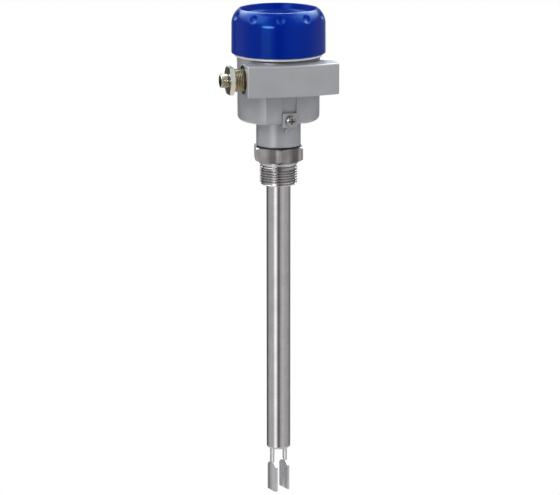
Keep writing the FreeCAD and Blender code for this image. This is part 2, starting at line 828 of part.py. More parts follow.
def board_components():
    """Transformer, relay, processor and two capacitors on the board."""
    parts = []
    for width, depth, height, x, y in (
            (transformer_width, transformer_depth, transformer_height, transformer_x, transformer_y),
            (relay_width, relay_depth, relay_height, relay_x, relay_y),
            (chip_size, chip_size, chip_height, 0, chip_y)):
        parts.append(block(x - width / 2, x + width / 2, y - depth / 2, y + depth / 2,
                           board_top, board_top + height))
    for side in (-1, 1):
        parts.append(rod(capacitor_r, board_top, board_top + capacitor_height,
                         capacitor_x, side * capacitor_pitch / 2))
    return parts


def terminal_block():
    half_x = terminal_count * terminal_pitch / 2
    top = cover_top + terminal_height
    body = block(-half_x, half_x, terminal_y - terminal_depth / 2, terminal_y + terminal_depth / 2,
                 cover_top, top)
    for k in range(terminal_count):
        x = terminal_x(k)
        well = rod(terminal_well_r, top - terminal_well_depth, top + 1, x, terminal_y)
        entry = Part.makeCylinder(wire_entry_r, wire_entry_depth + 1,
                                  V(x, terminal_y - terminal_depth / 2 - 1,
                                    cover_top + wire_entry_height), V(0, 1, 0))
        body = body.cut(well).cut(entry)
    return body


def terminal_screws():
    base = cover_top + terminal_height - terminal_well_depth
    screws = []
    for k in range(terminal_count):
        x = terminal_x(k)
        screw = rod(terminal_screw_r, base, base + terminal_screw_height, x, terminal_y)
        slot = block(x - terminal_screw_r, x + terminal_screw_r, terminal_y - 0.4, terminal_y + 0.4,
                     base + terminal_screw_height - 1.0, base + terminal_screw_height + 1)
        screws.append(screw.cut(slot))
    return screws


def fixing_screws():
    screws = []
    for side in (-1, 1):
        x = side * fixing_x
        shank = rod(fixing_r, cover_top - fixing_length, cover_top + 0.1, x, fixing_y)
        head = rod(fixing_head_r, cover_top, cover_top + fixing_head_height, x, fixing_y)
        slot = block(x - fixing_head_r, x + fixing_head_r, fixing_y - 0.5, fixing_y + 0.5,
                     cover_top + fixing_head_height - 1.0, cover_top + fixing_head_height + 1)
        screws.append(shank.fuse(head).cut(slot).removeSplitter())
    return screws


def switch_slot_x(side):
    return side * switch_length / 4


def switch_block():
    """Low block with two slots for the slide switches."""
    top = cover_top + switch_height
    body = block(-switch_length / 2, switch_length / 2, switch_y - switch_depth / 2,
                 switch_y + switch_depth / 2, cover_top, top)
    for side in (-1, 1):
        x = switch_slot_x(side)
        body = body.cut(block(x - switch_slot_length / 2, x + switch_slot_length / 2,
                              switch_y - switch_slot_width / 2, switch_y + switch_slot_width / 2,
                              top - switch_slot_depth, top + 1))
    return body


def switch_lever(side):
    """Slide lever at the left end of its slot."""
    base = cover_top + switch_height - switch_slot_depth + slide_gap
    half_width = switch_slot_width / 2 - slide_gap
    length = switch_slot_length - switch_travel - 2 * slide_gap
    left = switch_slot_x(side) - switch_slot_length / 2 + slide_gap
    return block(left, left + length, switch_y - half_width, switch_y + half_width,
                 base, base + lever_height)


def status_lamp():
    stem = rod(lamp_r, cover_top, cover_top + 2.0, lamp_x, switch_y)
    dome = Part.makeSphere(lamp_r, V(lamp_x, switch_y, cover_top + 2.0))
    return stem.fuse(dome).removeSplitter()


def sensor_lead():
    """Lead on the axis that twists when the housing is turned."""
    return rod(sensor_lead_r, plug_top + slide_gap, cavity_floor + cup_wall)


pieces = {
    "process_fitting": process_fitting(),
    "extension_tube": extension_tube(),
    "fork_base": fork_base(),
    "tine_left": tine(-1),
    "tine_right": tine(1),
    "drive_bolt": drive_bolt(),
    "piezo_rings": piezo_rings(),
    "electrode_discs": electrode_discs(),
    "insulating_discs": insulating_discs(),
    "preload_nut": preload_nut(),
    "probe_leads": probe_leads(),
    "lead_guides": lead_guides(),
    "feedthrough": feedthrough(),
    "feedthrough_pins": feedthrough_pins(),
    "sensor_plug": sensor_plug(),
    "neck_seal": neck_seal(),
    "retaining_ring": retaining_ring(),
    "housing": housing(),
    "sensor_lead": sensor_lead(),
    "electronics_cup": electronics_cup(),
    "electronics_cover": electronics_cover(),
    "circuit_board": circuit_board(),
    "board_components": board_components(),
    "terminal_block": terminal_block(),
    "terminal_screws": terminal_screws(),
    "fixing_screws": fixing_screws(),
    "switch_block": switch_block(),
    "mode_lever": switch_lever(-1),
    "density_lever": switch_lever(1),
    "status_lamp": status_lamp(),
    "connector_body": connector_body(),
    "connector_seal": entry_seal(bar_left + spotface_depth, -1),
    "connector_insert": connector_insert(),
    "connector_pins": connector_pins(),
    "connector_leads": connector_leads(),
    "blind_plug": blind_plug(),
    "blind_plug_seal": entry_seal(bar_right - spotface_depth, 1),
    "ground_clamp": ground_clamp(),
    "ground_screw": ground_screw(),
    "lid_gasket": lid_gasket(),
    "lid": lid(),
}

os.makedirs("parts", exist_ok=True)
for name, shape in pieces.items():
    if isinstance(shape, list):
        shape = Part.makeCompound(shape)
    shape.exportStep(os.path.join("parts", name + ".step"))
    print(name, len(shape.Solids), "valid" if shape.isValid() else "INVALID", round(shape.Volume, 1))
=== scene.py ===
import bpy
import bmesh
import math
from mathutils import Matrix, Vector


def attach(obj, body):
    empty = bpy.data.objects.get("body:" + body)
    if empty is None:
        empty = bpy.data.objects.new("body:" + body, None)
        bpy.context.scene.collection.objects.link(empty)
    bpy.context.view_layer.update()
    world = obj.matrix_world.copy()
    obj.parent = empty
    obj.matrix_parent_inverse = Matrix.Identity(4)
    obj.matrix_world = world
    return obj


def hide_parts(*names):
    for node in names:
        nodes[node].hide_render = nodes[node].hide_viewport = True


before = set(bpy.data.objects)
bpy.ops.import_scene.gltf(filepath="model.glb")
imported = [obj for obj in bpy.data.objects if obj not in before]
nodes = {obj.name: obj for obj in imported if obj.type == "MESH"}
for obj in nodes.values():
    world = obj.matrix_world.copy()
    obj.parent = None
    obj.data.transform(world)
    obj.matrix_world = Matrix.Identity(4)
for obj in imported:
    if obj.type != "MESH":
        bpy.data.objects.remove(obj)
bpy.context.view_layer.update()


# Process fitting
# Hexagon, G1 thread and the spigot that the housing turns on, in one piece of stainless
# hexagon bar. It is turned on a lathe and its thread is cut with a single point tool.
MM = 0.001


def linear(code):
    """Linear colour from an sRGB hex code."""
    parts = [int(code[k:k + 2], 16) / 255 for k in (0, 2, 4)]
    return [c / 12.92 if c <= 0.04045 else ((c + 0.055) / 1.055) ** 2.4 for c in parts] + [1.0]


def add(tree, kind, inputs=None, links=None, stops=None, **settings):
    """Adds a node: its settings, input values, links from (node, output) and colour ramp stops."""
    made = tree.nodes.new(kind)
    for name, value in settings.items():
        setattr(made, name, value)
    for name, value in (inputs or {}).items():
        made.inputs[name].default_value = value
    for name, (source, output) in (links or {}).items():
        tree.links.new(source.outputs[output], made.inputs[name])
    if stops:
        elements = made.color_ramp.elements
        while len(elements) < len(stops):
            elements.new(0.5)
        for element, (place, value) in zip(elements, stops):
            element.position = place
            element.color = value if isinstance(value, list) else (value, value, value, 1)
    return made


def finish(name, colour, **values):
    """A new material with a Principled shader. Returns the material, its tree and the shader."""
    made = bpy.data.materials.new(name)
    made.use_nodes = True
    shader = made.node_tree.nodes["Principled BSDF"]
    shader.inputs["Base Color"].default_value = linear(colour)
    for key, value in values.items():
        shader.inputs[key.replace("_", " ")].default_value = value
    return made, made.node_tree, shader


def metal(name, colour, dark, roughness, spread, marks_per_mm, stretch, lift, painted_shade_tone=0.22, reach=1.6):
    """Bare or plated metal with tool marks, and painted shade: darker where another face is within reach
    mm.

    Real tool marks are a few hundredths of a millimetre wide, too fine to show, so they are drawn
    0.7 to 1.4 mm wide and lift mm high. The stretch packs them closer along one axis.
    """
    patches_per_mm = 0.09
    made, tree, shader = finish(name, colour, Metallic=1.0, Roughness=roughness)
    place = add(tree, "ShaderNodeTexCoord")
    run = add(tree, "ShaderNodeMapping", {"Scale": stretch}, {"Vector": (place, "Object")})
    marks = add(tree, "ShaderNodeTexNoise", {"Scale": marks_per_mm / MM, "Detail": 4.0, "Roughness": 0.6},
                {"Vector": (run, "Vector")})
    patches = add(tree, "ShaderNodeTexNoise", {"Scale": patches_per_mm / MM, "Detail": 3.0},
                  {"Vector": (place, "Object")})
    shade = add(tree, "ShaderNodeValToRGB", links={"Fac": (patches, "Fac")},
                stops=[(0.3, linear(dark)), (0.62, linear(colour))])
    # Painted shade: the colour goes darker where another face lies within reach mm, as in creases and
    # thread roots
    hollow = add(tree, "ShaderNodeAmbientOcclusion", {"Distance": reach * MM}, samples=8)
    painted_shade = add(tree, "ShaderNodeValToRGB", links={"Fac": (hollow, "AO")},
               stops=[(0.25, painted_shade_tone), (0.8, 1.0)])
    tone_with_painted_shade = add(tree, "ShaderNodeMix", {0: 1.0}, {6: (shade, "Color"), 7: (painted_shade, "Color")},
               data_type="RGBA", blend_type="MULTIPLY")
    tree.links.new(tone_with_painted_shade.outputs[2], shader.inputs["Base Color"])
    rough = add(tree, "ShaderNodeMapRange", {"From Min": 0.25, "From Max": 0.75,
                                             "To Min": roughness - spread, "To Max": roughness + spread},
                {"Value": (marks, "Fac")})
    tree.links.new(rough.outputs["Result"], shader.inputs["Roughness"])
    bump = add(tree, "ShaderNodeBump", {"Strength": 0.6, "Distance": lift * MM}, {"Height": (marks, "Fac")})
    tree.links.new(bump.outputs["Normal"], shader.inputs["Normal"])
    return made


def dress(names, made):
    """Gives carried-over CAD nodes a material."""
    for name in names:
        nodes[name].data.materials.clear()
        nodes[name].data.materials.append(made)


def copy_of(name):
    """A bmesh of a CAD node's mesh with its doubled seam points merged."""
    seam_gap = 0.002 * MM
    bm = bmesh.new()
    bm.from_mesh(nodes[name].data)
    bmesh.ops.remove_doubles(bm, verts=bm.verts, dist=seam_gap)
    return bm


def cut(bm, point, outward):
    """Cuts away what lies past a plane and returns the edges that are left open."""
    bmesh.ops.bisect_plane(bm, geom=bm.verts[:] + bm.edges[:] + bm.faces[:], plane_co=point,
                           plane_no=outward, clear_outer=True)
    return [e for e in bm.edges if e.is_boundary]


def take_in(bm, part):
    """Moves the faces of the bmesh part into bm."""
    held = bpy.data.meshes.new("thread part")
    part.to_mesh(held)
    part.free()
    bm.from_mesh(held)
    bpy.data.meshes.remove(held)


def settle(bm, name, body, made, smooth=35):
    """Turns a bmesh into a finished piece on a CAD body, sharp where faces meet past smooth degrees."""
    bmesh.ops.recalc_face_normals(bm, faces=bm.faces)
    mesh = bpy.data.meshes.new(name)
    bm.to_mesh(mesh)
    bm.free()
    # A copy brings the CAD's stored normals, which don't fit the new faces
    if "custom_normal" in mesh.attributes:
        mesh.attributes.remove(mesh.attributes["custom_normal"])
    mesh.materials.append(made)
    mesh.shade_smooth()
    mesh.set_sharp_from_angle(angle=math.radians(smooth))
    piece = bpy.data.objects.new(name, mesh)
    bpy.context.scene.collection.objects.link(piece)
    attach(piece, body)
    return piece


def screw_thread(major, pitch, depth, low, high, bore, chamfer, runout, around):
    """Threaded sleeve about Z: one pitch of its profile spun with a rise, cut flat at both ends."""
    bm = bmesh.new()
    land = pitch * 0.09
    flank = pitch / 2 - land
    lead_in = 2
    level_gap, seam_gap = 1e-7, pitch * 0.01
    profile = [(0, 0), (land, 0), (land + flank, 1), (land * 3 + flank, 1), (pitch, 0)]
    points = [bm.verts.new((major - depth + depth * up, 0, low - lead_in * pitch + along))
              for along, up in profile]
    edges = [bm.edges.new((points[k], points[k + 1])) for k in range(len(points) - 1)]
    turns = math.ceil((high - low) / pitch) + lead_in + 1
    bmesh.ops.spin(bm, geom=points + edges, cent=(0, 0, 0), axis=(0, 0, 1),
                   dvec=(0, 0, pitch / around), angle=2 * math.pi * turns,
                   steps=around * turns, use_merge=False, use_duplicate=False)
    bmesh.ops.remove_doubles(bm, verts=bm.verts, dist=seam_gap)
    for height, outward in ((high, 1), (low, -1)):
        cut(bm, (0, 0, height), (0, 0, outward))
    for v in bm.verts:
        limit = major - max(0, chamfer - (v.co.z - low)) - max(0, runout - (high - v.co.z))
        radius = v.co.xy.length
        if radius > limit:
            v.co.xy = v.co.xy * (limit / radius)
    ends = []
    for height in (high, low):
        rim = [e for e in bm.edges
               if e.is_boundary and all(abs(v.co.z - height) < level_gap for v in e.verts)]
        grown = bmesh.ops.extrude_edge_only(bm, edges=rim)["geom"]
        for v in [g for g in grown if isinstance(g, bmesh.types.BMVert)]:
            v.co.xy = v.co.xy * (bore / v.co.xy.length)
        ends += [g for g in grown if isinstance(g, bmesh.types.BMEdge) and g.is_boundary]
    bmesh.ops.bridge_loops(bm, edges=ends)
    return bm


# Turned stainless steel: bright, with fine rings round the axis that blur what it mirrors
stainless = metal("turned stainless steel", "CDC9C9", "BCB8B8", 0.18, 0.03, 0.9, (1, 1, 6), 0.003, 0.5)

# Below the relief groove the plain solid gives way to the real thread, 11 to the inch
relief_cut, thread_end, thread_bore = -3.5 * MM, -21 * MM, 10.65 * MM
thread_r, thread_pitch, thread_depth = 16.62 * MM, 2.309 * MM, 1.40 * MM
thread_chamfer, thread_runout = 1.6 * MM, 1.5 * MM
bm = copy_of("process_fitting")
bmesh.ops.bridge_loops(bm, edges=cut(bm, (0, 0, relief_cut), (0, 0, -1)))
take_in(bm, screw_thread(thread_r, thread_pitch, thread_depth, thread_end, relief_cut, thread_bore,
                         thread_chamfer, thread_runout, 72))
hexagon_foot = -0.5 * MM
for face in bm.faces:
    face.material_index = int(face.calc_center_median().z > hexagon_foot)
fitting = settle(bm, "threaded_fitting", "probe", stainless)

# Drawn stainless bar: the hexagon keeps the bar's duller skin, with a painted reflection that is dark
# along one side of each flat and bright along the other. A corner points corner_turn degrees clockwise of
# X.
drawn = metal("drawn hexagon bar", "B5B0AF", "9C9796", 0.22, 0.04, 0.9, (1, 1, 0.2), 0.004, 0.4)
flats, corner_turn = 6, 105.67
tree = drawn.node_tree
place = add(tree, "ShaderNodeTexCoord")
split = add(tree, "ShaderNodeSeparateXYZ", links={"Vector": (place, "Object")})
turn = add(tree, "ShaderNodeMath", links={0: (split, "Y"), 1: (split, "X")}, operation="ARCTAN2")
count = add(tree, "ShaderNodeMath", {1: flats / (2 * math.pi), 2: corner_turn / (360 / flats) + flats},
            {0: (turn, 0)}, operation="MULTIPLY_ADD")
across = add(tree, "ShaderNodeMath", links={0: (count, 0)}, operation="FRACT")
# Painted reflection: each flat is coloured dark along one side and bright along the other
painted_flat_reflection = add(tree, "ShaderNodeValToRGB", links={"Fac": (across, 0)},
           stops=[(0.0, 0.95), (0.12, 0.85), (0.42, 0.9), (0.68, 0.38), (0.86, 0.42), (0.97, 1.2),
                  (1.0, 1.25)])
shader = tree.nodes["Principled BSDF"]
lit = shader.inputs["Base Color"].links[0].from_node
flats_with_painted_reflection = add(tree, "ShaderNodeMix", {0: 1.0}, {6: (lit, 2), 7: (painted_flat_reflection, "Color")},
             data_type="RGBA", blend_type="MULTIPLY")
tree.links.new(flats_with_painted_reflection.outputs[2], shader.inputs["Base Color"])
fitting.data.materials.append(drawn)
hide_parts("process_fitting")


# Extension tube, fork base and tines
# Standard stainless tube, ground along its length, with the fork's foot welded on and
# polished. The tines are milled and blasted before they are joined.

# Ground stainless tube: fine lines along the tube draw each lamp out into an upright stripe
tube_steel = metal("ground stainless tube", "CCC8C9", "C2BEC0", 0.18, 0.03, 0.7, (6, 6, 1), 0.002)
dress(["extension_tube", "fork_base"], tube_steel)
# Milled and blasted stainless: pale and almost matt, so that the paddles look lighter than the tube
tine_steel = metal("milled stainless", "DEDCDD", "D0CED0", 0.42, 0.04, 1.5, (1, 1, 3), 0.004, 0.4)
dress(["tine_left", "tine_right"], tine_steel)


# Drive inside the foot
# Piezo rings, electrodes and insulators clamped by a nut on a steel bolt, with two wires
# led up the tube through plastic discs to a glass-sealed connector.
def moulded(name, colour, roughness, grain_per_mm, lift, vary=0.04, **values):
    """Moulded, fired or sheathed stuff with a fine grain of its own, lift mm high.

    The real grain is near 0.05 mm, too fine to show, so it is drawn 0.4 to 1.1 mm wide.
    """
    made, tree, shader = finish(name, colour, Roughness=roughness, **values)
    place = add(tree, "ShaderNodeTexCoord")
    grain = add(tree, "ShaderNodeTexNoise", {"Scale": grain_per_mm / MM, "Detail": 5.0, "Roughness": 0.55},
                {"Vector": (place, "Object")})
    rough = add(tree, "ShaderNodeMapRange", {"From Min": 0.3, "From Max": 0.7,
                                             "To Min": roughness - vary, "To Max": roughness + vary},
                {"Value": (grain, "Fac")})
    tree.links.new(rough.outputs["Result"], shader.inputs["Roughness"])
    bump = add(tree, "ShaderNodeBump", {"Strength": 0.5, "Distance": lift * MM}, {"Height": (grain, "Fac")})
    tree.links.new(bump.outputs["Normal"], shader.inputs["Normal"])
    return made


dress(["drive_bolt", "preload_nut", "feedthrough"], stainless)
# Fired ceramic: off-white and dull
dress(["piezo_rings", "insulating_discs"], moulded("fired ceramic", "E9E4D8", 0.5, 2.5, 0.01))
# Punched brass sheet: yellow with a soft shine
dress(["electrode_discs"], metal("electrode brass", "C9A24E", "B38F44", 0.3, 0.05, 1.2, (1, 1, 1), 0.01))
# Extruded wire covers: smooth soft plastic in the two colours of the circuit
red_wire = moulded("red wire cover", "B3241C", 0.45, 1.5, 0.02)
blue_wire = moulded("blue wire cover", "23408F", 0.45, 1.5, 0.02)
dress(["probe_leads"], red_wire)
# Moulded natural plastic: white with a silky shine
dress(["lead_guides"], moulded("white guide plastic", "E6E5E0", 0.4, 1.2, 0.02))
# Gold plate over brass: deep yellow and bright
gold = metal("gold-plated contact", "E0B45C", "CFA04A", 0.2, 0.04, 1.5, (1, 1, 1), 0.008)
dress(["feedthrough_pins"], gold)
# Glass-filled black plastic: near black, and rough enough to show its edges in grey
black_plastic = moulded("black moulded plastic", "1B1B1D", 0.42, 1.4, 0.03)
dress(["sensor_plug"], black_plastic)


# Neck seal and snap ring
# Black rubber ring pressed into the gap over the hexagon, and the sprung steel ring that
# holds the housing down on the spigot.

# Moulded rubber: the darkest and dullest surface, so the gap reads as a black line
rubber = moulded("black rubber", "0E0E0F", 0.62, 0.9, 0.04)
dress(["neck_seal", "connector_seal", "blind_plug_seal", "lid_gasket"], rubber)
# Heat-blued spring steel: dark blue-grey with a low shine
dress(["retaining_ring"], metal("blued spring steel", "6F7278", "54575C", 0.35, 0.05, 1.5, (1, 1, 1), 0.01))


# Housing
# Pressure die-cast aluminium in one casting, powder-coated light grey. The flange under
# the lid carries a painted highlight: it is coloured near white.

# Baked powder coat: cloudy light grey under a soft glaze that spreads highlights wide
grey_coat, tree, shader = finish("grey powder coat", "98989C", Roughness=0.42, Coat_Weight=1.0,
                                 Coat_Roughness=0.26, Coat_IOR=1.8)
# The orange peel has waves 1.6 mm wide, and the clouds are 22 mm wide
peel_per_mm, peel_lift, cloud_per_mm = 0.62, 0.08, 0.045
place = add(tree, "ShaderNodeTexCoord")
peel = add(tree, "ShaderNodeTexNoise", {"Scale": peel_per_mm / MM, "Detail": 3.0, "Roughness": 0.5},
           {"Vector": (place, "Object")})
cloud = add(tree, "ShaderNodeTexNoise", {"Scale": cloud_per_mm / MM, "Detail": 4.0},
            {"Vector": (place, "Object")})
tone = add(tree, "ShaderNodeValToRGB", links={"Fac": (cloud, "Fac")},
           stops=[(0.3, linear("909094")), (0.7, linear("98989C"))])
# Painted shade: corners and the channel over the boss go darker where other faces are near
shade_reach = 4.5 * MM
corner = add(tree, "ShaderNodeAmbientOcclusion", {"Distance": shade_reach}, samples=8)
painted_corner_shade = add(tree, "ShaderNodeValToRGB", links={"Fac": (corner, "AO")}, stops=[(0.35, 0.35), (0.78, 1.0)])
tone_with_painted_shade = add(tree, "ShaderNodeMix", {0: 1.0}, {6: (tone, "Color"), 7: (painted_corner_shade, "Color")},
           data_type="RGBA", blend_type="MULTIPLY")
# Painted highlight: what lies outside this radius and over this height, the flange, is coloured near white
flange_r, flange_foot = 37.6 * MM, 93.55 * MM
split = add(tree, "ShaderNodeSeparateXYZ", links={"Vector": (place, "Object")})
flat = add(tree, "ShaderNodeCombineXYZ", links={"X": (split, "X"), "Y": (split, "Y")})
radius = add(tree, "ShaderNodeVectorMath", links={0: (flat, 0)}, operation="LENGTH")
outer = add(tree, "ShaderNodeMath", {1: flange_r}, {0: (radius, "Value")}, operation="GREATER_THAN")
upper = add(tree, "ShaderNodeMath", {1: flange_foot}, {0: (split, "Z")}, operation="GREATER_THAN")
rim = add(tree, "ShaderNodeMath", links={0: (outer, 0), 1: (upper, 0)}, operation="MULTIPLY")
# Painted highlight: the flange band takes a near-white colour in place of the grey
painted_flange_highlight = add(tree, "ShaderNodeMix", {7: linear("FAFAFC")}, {0: (rim, 0), 6: (tone_with_painted_shade, 2)}, data_type="RGBA")
tree.links.new(painted_flange_highlight.outputs[2], shader.inputs["Base Color"])
bump = add(tree, "ShaderNodeBump", {"Strength": 0.2, "Distance": peel_lift * MM}, {"Height": (peel, "Fac")})
tree.links.new(bump.outputs["Normal"], shader.inputs["Normal"])
dress(["housing"], grey_coat)


# Electronics
# Plastic cup with the circuit board, a grey cover with terminals, two slide switches and
# a lamp under the lid, held by two screws.
dress(["electronics_cup", "board_components", "switch_block"], black_plastic)
# Moulded grey plastic: mid grey and half matt
dress(["electronics_cover"], moulded("grey moulded plastic", "6E7276", 0.45, 1.2, 0.03))
# Solder resist over glass fibre: deep green and glossy
dress(["circuit_board"], moulded("green solder resist", "1C5A34", 0.3, 2.2, 0.02))
# Moulded terminal plastic: dull green
dress(["terminal_block"], moulded("terminal plastic", "2F5E48", 0.45, 1.2, 0.03))
# Nickel plate over turned brass: warm white and bright
nickel = metal("nickel plate", "D8D3C4", "C8C1AE", 0.2, 0.03, 1.2, (1, 1, 1), 0.002)
dress(["terminal_screws", "fixing_screws"], nickel)
# Moulded white plastic: clean white with a silky shine
dress(["mode_lever", "density_lever"], moulded("white moulded plastic", "E8E7E2", 0.4, 1.2, 0.02))
# Polished lens: bright green, with sharp highlights
dress(["status_lamp"], moulded("lamp lens", "6BD24A", 0.15, 0.9, 0.01, 0.02))
dress(["sensor_lead"], rubber)


# Plug connector
# Adapter turned from brass hexagon and nickel-plated, screwed into the left entry, with a
# black contact carrier, four gold pins and wires to the terminals.
entry_y, entry_z = -28 * MM, 77.65 * MM
shell_cut, thread_cut = -53.15 * MM, -48.85 * MM
end_runout, around = 0.4 * MM, 64
bm = copy_of("connector_body")
for cut_x, outward in ((shell_cut, -1), (thread_cut, 1)):
    bmesh.ops.bridge_loops(bm, edges=cut(bm, (cut_x, 0, 0), (outward, 0, 0)))
# M12 thread for the plug and M20 thread for the entry, each from its free end to the hexagon
for major, pitch, depth, length, bore, chamfer, start, way in (
        (6.0, 1.0, 0.61, 6.45, 4.6, 0.6, -59.6, 1), (9.95, 1.5, 0.92, 21.35, 6.5, 0.9, -27.5, -1)):
    part = screw_thread(major * MM, pitch * MM, depth * MM, 0, length * MM, bore * MM,
                        chamfer * MM, end_runout, around)
    part.transform(Matrix.Translation((start * MM, entry_y, entry_z))
                   @ Matrix.Rotation(math.radians(90 * way), 4, "Y"))
    take_in(bm, part)
for face in bm.faces:
    face.material_index = int(face.calc_center_median().x > thread_cut)
adapter = settle(bm, "connector_adapter", "head", nickel)
# Oiled nickel: what was left in the entry's thread on fitting makes it browner and less sharp
adapter.data.materials.append(metal("oiled nickel thread", "D2C5A8", "B8A987", 0.25, 0.04, 1.2,
                                    (1, 1, 1), 0.002, 0.25))
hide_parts("connector_body")
dress(["connector_insert"], black_plastic)
dress(["connector_pins"], gold)
dress(["connector_leads"], blue_wire)


# Blind plug
# Moulded black plug with a hexagon socket, screwed into the unused entry and sealed by a
# flat ring, as the other entry is.
dress(["blind_plug"], black_plastic)


# Earth terminal
# Cupped clamp washer of stainless steel and a cross-recessed pan head screw of zinc-plated
# steel, on the boss at the front of the housing.

# Pressed stainless sheet: plain and bright
bright_steel = metal("bright screw steel", "CBCAC8", "BDBCBA", 0.22, 0.03, 1.5, (1, 1, 1), 0.002)
dress(["ground_clamp"], bright_steel)
# Zinc plate: greyer than stainless, and its painted shade reaches far into the hollows so that the cross
# reads black
dress(["ground_screw"], metal("zinc-plated screw", "B4B1AF", "8E8A88", 0.2, 0.03, 1.5, (1, 1, 1),
                              0.002, 0.03, 2.6))


# Lid
# Die-cast aluminium screw lid, powder-coated deep blue with a glossy top coat, over a
# rubber ring in its groove. Ten scooped thumb dents on its shoulder give grip.

# Glossy powder coat: deep blue, and blue too where it mirrors the white surroundings
blue_coat, tree, shader = finish("deep blue gloss coat", "001985", Roughness=0.13,
                                 Specular_IOR_Level=0.45, Specular_Tint=linear("61B8FF"),
                                 Sheen_Weight=0.4, Sheen_Roughness=0.3, Sheen_Tint=linear("50AAFF"))
# The orange peel has waves 2.1 mm wide, and the clouds are 25 mm wide
peel_per_mm, peel_lift, cloud_per_mm = 0.48, 0.07, 0.04
place = add(tree, "ShaderNodeTexCoord")
peel = add(tree, "ShaderNodeTexNoise", {"Scale": peel_per_mm / MM, "Detail": 2.0, "Roughness": 0.5},
           {"Vector": (place, "Object")})
cloud = add(tree, "ShaderNodeTexNoise", {"Scale": cloud_per_mm / MM, "Detail": 3.0},
            {"Vector": (place, "Object")})
tone = add(tree, "ShaderNodeValToRGB", links={"Fac": (cloud, "Fac")},
           stops=[(0.3, linear("001881")), (0.7, linear("001C8A"))])
tree.links.new(tone.outputs["Color"], shader.inputs["Base Color"])
bump = add(tree, "ShaderNodeBump", {"Strength": 0.3, "Distance": peel_lift * MM}, {"Height": (peel, "Fac")})
tree.links.new(bump.outputs["Normal"], shader.inputs["Normal"])

dish_r, dish_floor, dish_round = 31.9, 127.6, 2.4
rim_r, rim_top, rim_round = 33.1, 135.32, 1.6
shoulder_r, shoulder_top, shoulder_round = 40.95, 130.2, 8.3
skirt_r, skirt_foot, skirt_round = 41.2, 95.9, 0.8
gasket_r, gasket_seat = 38.6, 97.85
inner_r, inner_top = 36.4, 108.4
ceiling_r, ceiling_foot, ceiling, ceiling_round = 34.9, 109.9, 125.0, 5.0
shoulder_steps, corner_steps, lid_steps = 34, 6, 480
axis_gap, seam_gap = 1e-7, 1e-6
# Half section as radius, height and rounding, from the dish over the shoulder and up inside
section = [(0, dish_floor, 0), (dish_r, dish_floor, dish_round), (rim_r, rim_top, rim_round),
           (shoulder_r, shoulder_top, shoulder_round), (skirt_r, skirt_foot, skirt_round),
           (gasket_r, skirt_foot, 0), (gasket_r, gasket_seat, 0), (inner_r, gasket_seat, 0),
           (inner_r, inner_top, 0), (ceiling_r, ceiling_foot, 0),
           (ceiling_r, ceiling, ceiling_round), (0, ceiling, 0)]
bm = bmesh.new()
corners = [bm.verts.new((radius * MM, 0, height * MM)) for radius, height, rounding in section]
bm.faces.new(corners)
for corner, (radius, height, rounding) in zip(corners, section):
    if rounding:
        bmesh.ops.bevel(bm, geom=[corner], offset=rounding * MM, offset_type="OFFSET", affect="VERTICES",
                        segments=shoulder_steps if rounding == shoulder_round else corner_steps,
                        profile=0.5, material=-1)
bmesh.ops.delete(bm, geom=bm.faces[:], context="FACES_ONLY")
on_axis = [e for e in bm.edges if e.calc_length() > 0 and all(v.co.x < axis_gap for v in e.verts)]
bmesh.ops.delete(bm, geom=on_axis, context="EDGES_FACES")
bmesh.ops.spin(bm, geom=bm.verts[:] + bm.edges[:], cent=(0, 0, 0), axis=(0, 0, 1),
               angle=2 * math.pi, steps=lid_steps, use_merge=True, use_duplicate=False)
bmesh.ops.remove_doubles(bm, verts=bm.verts, dist=seam_gap)
bmesh.ops.recalc_face_normals(bm, faces=bm.faces)
bm.normal_update()

# Ten thumb dents on the shoulder, each a shallow bowl with a soft rim, centred on the shoulder's arc
dent_count, first_dent = 10, -103
dent_r, dent_depth, dent_softness = 4.3, 1.5, 1.3
arc_r, arc_z, arc_round, lean = 25.0, 121.2, 16.0, math.radians(30)
dent_foot, dent_inside = 118, 33.2
dents = [Vector(((arc_r + arc_round * math.cos(lean)) * math.cos(turn),
                 (arc_r + arc_round * math.cos(lean)) * math.sin(turn),
                 arc_z + arc_round * math.sin(lean))) * MM
         for turn in (math.radians(first_dent + 360 / dent_count * k) for k in range(dent_count))]
pushes = []
for v in bm.verts:
    if v.co.z > dent_foot * MM and v.co.xy.length > dent_inside * MM:
        for centre in dents:
            share = (v.co - centre).length / (dent_r * MM)
            if share < 1:
                pushes.append((v, v.normal * (-dent_depth * MM * (1 - share ** 2) ** dent_softness)))
for v, push in pushes:
    v.co += push
cap = settle(bm, "gloss_lid", "lid", blue_coat, 40)
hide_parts("lid")


# Camera, surroundings, floor and lamps
# The camera stands as the photograph's did, above the lid and a little to the left. Metal and
# paint mirror a ring of bright and dark upright strips, under a sky that is brightest behind.
def direction(turn, rise):
    """Unit vector from the switch to a stand, turned from the front and risen, in radians."""
    return Vector((math.sin(turn) * math.cos(rise), -math.cos(turn) * math.cos(rise), math.sin(rise)))


camera_turn, camera_rise, distance = math.radians(-15.67), math.radians(13.48), 2.2
aim = Vector((1.42, 0, -79.27)) * MM
away = direction(camera_turn, camera_rise)
camera = bpy.data.objects.new("camera", bpy.data.cameras.new("camera"))
camera.data.lens = 159.27
camera.data.sensor_width = 36
camera.data.clip_end = 20
camera.location = aim + away * distance
camera.rotation_euler = away.to_track_quat("Z", "Y").to_euler()
bpy.context.scene.collection.objects.link(camera)
bpy.context.scene.camera = camera

